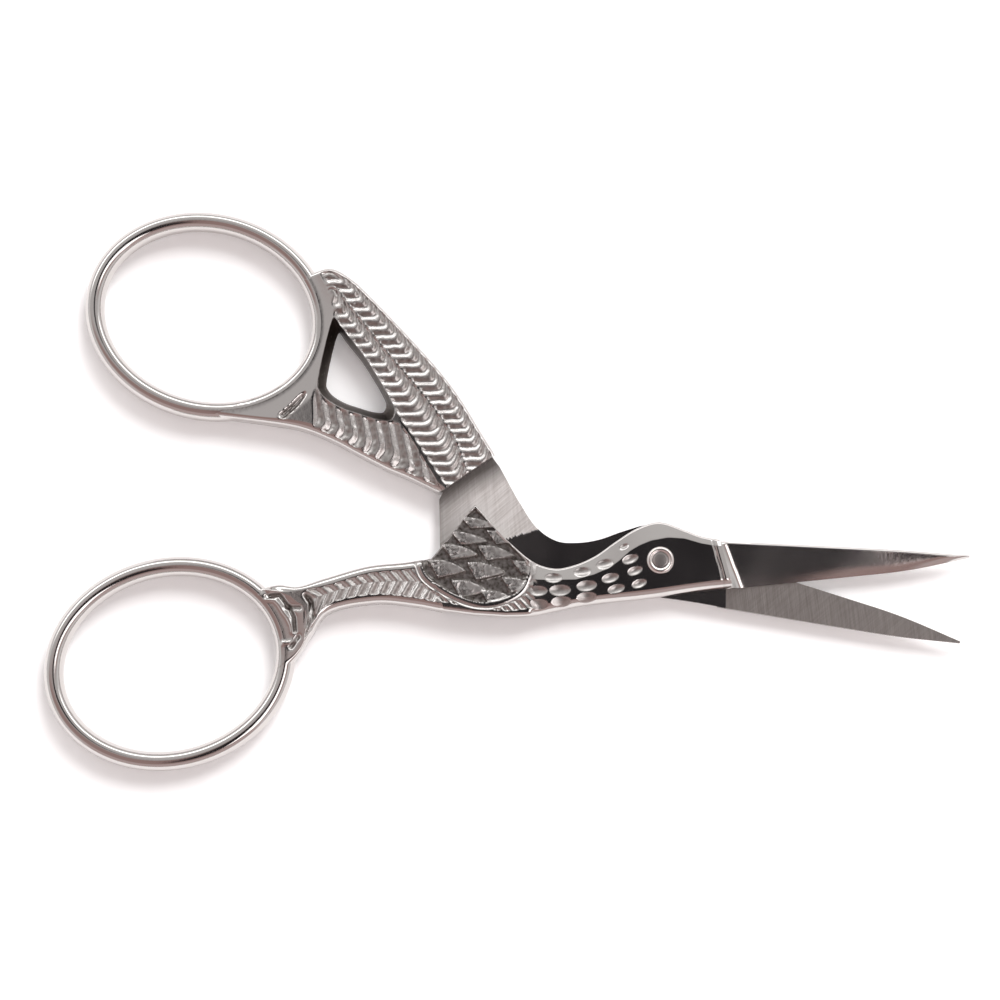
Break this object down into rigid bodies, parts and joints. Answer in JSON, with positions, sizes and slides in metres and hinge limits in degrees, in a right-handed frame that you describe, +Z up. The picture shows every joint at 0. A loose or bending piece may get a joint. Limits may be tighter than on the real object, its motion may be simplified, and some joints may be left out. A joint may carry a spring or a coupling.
{
  "type": "stork embroidery scissors",
  "caption": "Stork-shaped embroidery scissors with oval finger rings, feather relief, a pierced wing and slim pointed blades on a riveted half-lap pivot.",
  "frame": {"origin": "on the pivot axis, in the plane that the scissors lie on, at the middle of the rivet's flush tail", "axes": "+X towards the blade tips along the front half, +Y towards the wing half's side, +Z up out of the resting plane, out of the domed side of the rivet"},
  "size_m": [0.0921, 0.0565, 0.0037],
  "materials": {
    "nickel_plate": "polished, brushed on the ground lap faces and the blades' inner faces",
    "rivet": "polished"
  },
  "bodies": {
    "rear": {"rear_half": "nickel_plate", "pivot_rivet": "rivet"},
    "front": {"front_half": "nickel_plate"}
  },
  "joints": [
    {"name": "pivot", "type": "hinge", "parent": "rear", "child": "front", "pos_m": [0, 0, 0.0016], "axis": [0, 0, 1], "range_deg": [-15.8, 50]}
  ]
}
